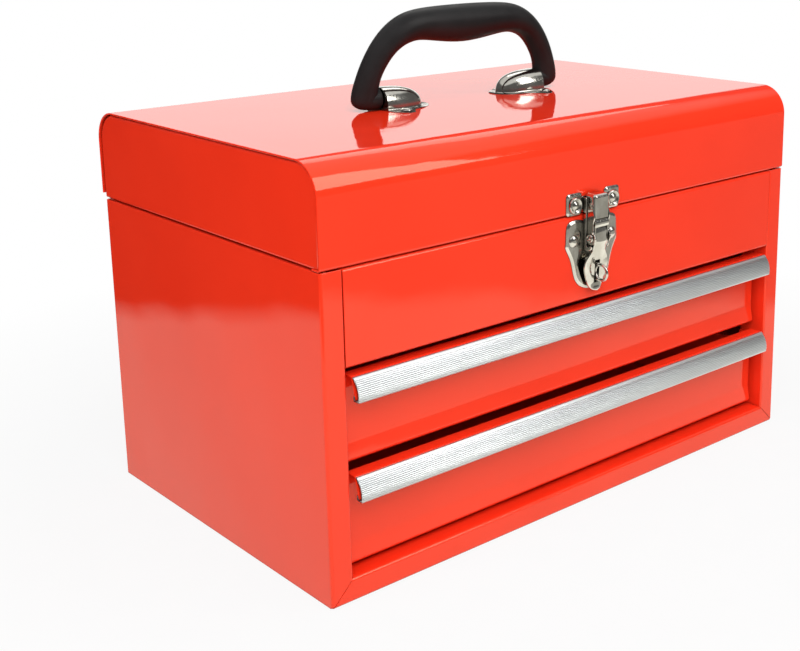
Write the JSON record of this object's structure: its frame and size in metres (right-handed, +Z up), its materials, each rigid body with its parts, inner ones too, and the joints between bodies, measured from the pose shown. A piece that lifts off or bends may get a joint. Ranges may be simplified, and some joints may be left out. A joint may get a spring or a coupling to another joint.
{
  "type": "portable tool box with drawers",
  "caption": "Portable steel tool box with a hinged, latched lid over a top bay, full-width sliding drawers with ribbed pulls, and a folding carrying handle.",
  "frame": {"origin": "centre of the box's footprint on the ground", "axes": "+X to the right along the box's width, +Y to the back (the drawers and the latch face -Y), +Z up"},
  "size_m": [0.43, 0.2849, 0.3399],
  "materials": {
    "paint": "gloss orange-red enamel",
    "chrome": "polished plating",
    "zinc_steel": "zinc plated, satin",
    "aluminium": "satin, drawn lengthwise",
    "grip": "matte, lightly grained"
  },
  "bodies": {
    "body": {"left_side_panel": "paint", "right_side_panel": "paint", "back_panel": "paint", "base_pan": "paint", "front_panel": "paint", "bay_floor": "paint", "upper_rail_left": "zinc_steel", "upper_rail_right": "zinc_steel", "lower_rail_left": "zinc_steel", "lower_rail_right": "zinc_steel", "hinge_body_leaf": "zinc_steel", "hinge_pin": "zinc_steel", "latch_base": "chrome", "latch_base_rivets": "chrome", "padlock_eye": "chrome", "latch_lever_pin": "zinc_steel", "stay_pivot_stud": "zinc_steel"},
    "lid": {"lid_wrap": "paint", "lid_end_left": "paint", "lid_end_right": "paint", "hinge_lid_leaf": "zinc_steel", "lid_strike": "chrome", "strike_rivets": "chrome", "handle_bracket_left": "chrome", "handle_bracket_right": "chrome", "handle_bracket_rivets": "chrome", "stay_slide_stud": "zinc_steel"},
    "handle": {"handle_grip": "grip", "handle_core": "zinc_steel"},
    "latch_lever": {"latch_lever": "chrome", "latch_claw_pin": "zinc_steel"},
    "latch_claw": {"latch_claw": "chrome"},
    "lid_stay": {"lid_stay": "zinc_steel"},
    "upper_drawer": {"upper_drawer_tray": "paint", "upper_drawer_front": "paint", "upper_drawer_pull": "aluminium"},
    "lower_drawer": {"lower_drawer_tray": "paint", "lower_drawer_front": "paint", "lower_drawer_pull": "aluminium"}
  },
  "joints": [
    {"name": "lid_hinge", "type": "hinge", "parent": "body", "child": "lid", "pos_m": [0, 0.1342, 0.2093], "axis": [-1, 0, 0], "range_deg": [0, 95]},
    {"name": "handle_pivot", "type": "hinge", "parent": "lid", "child": "handle", "pos_m": [0, -0.002, 0.279], "axis": [1, 0, 0], "range_deg": [-89.5, 80.5]},
    {"name": "latch_lever_hinge", "type": "hinge", "parent": "body", "child": "latch_lever", "pos_m": [0.003, -0.1385, 0.202], "axis": [-1, 0, 0], "range_deg": [0, 70]},
    {"name": "latch_claw_hinge", "type": "hinge", "parent": "latch_lever", "child": "latch_claw", "pos_m": [0.003, -0.1393, 0.1924], "axis": [1, 0, 0], "range_deg": [0, 135]},
    {"name": "lid_stay_hinge", "type": "hinge", "parent": "body", "child": "lid_stay", "pos_m": [0.20545, 0.10225, 0.19767], "axis": [-1, 0, 0], "range_deg": [0, 47.5]},
    {"name": "upper_drawer_slide", "type": "slide", "parent": "body", "child": "upper_drawer", "axis": [0, -1, 0], "range_m": [0, 0.205]},
    {"name": "lower_drawer_slide", "type": "slide", "parent": "body", "child": "lower_drawer", "axis": [0, -1, 0], "range_m": [0, 0.205]}
  ],
  "couplings": [
    {"joint": "latch_lever_hinge", "follows": "lid_hinge", "ratio": 0.73684},
    {"joint": "latch_claw_hinge", "follows": "lid_hinge", "ratio": 1.4211},
    {"joint": "lid_stay_hinge", "follows": "lid_hinge", "ratio": 0.5}
  ]
}
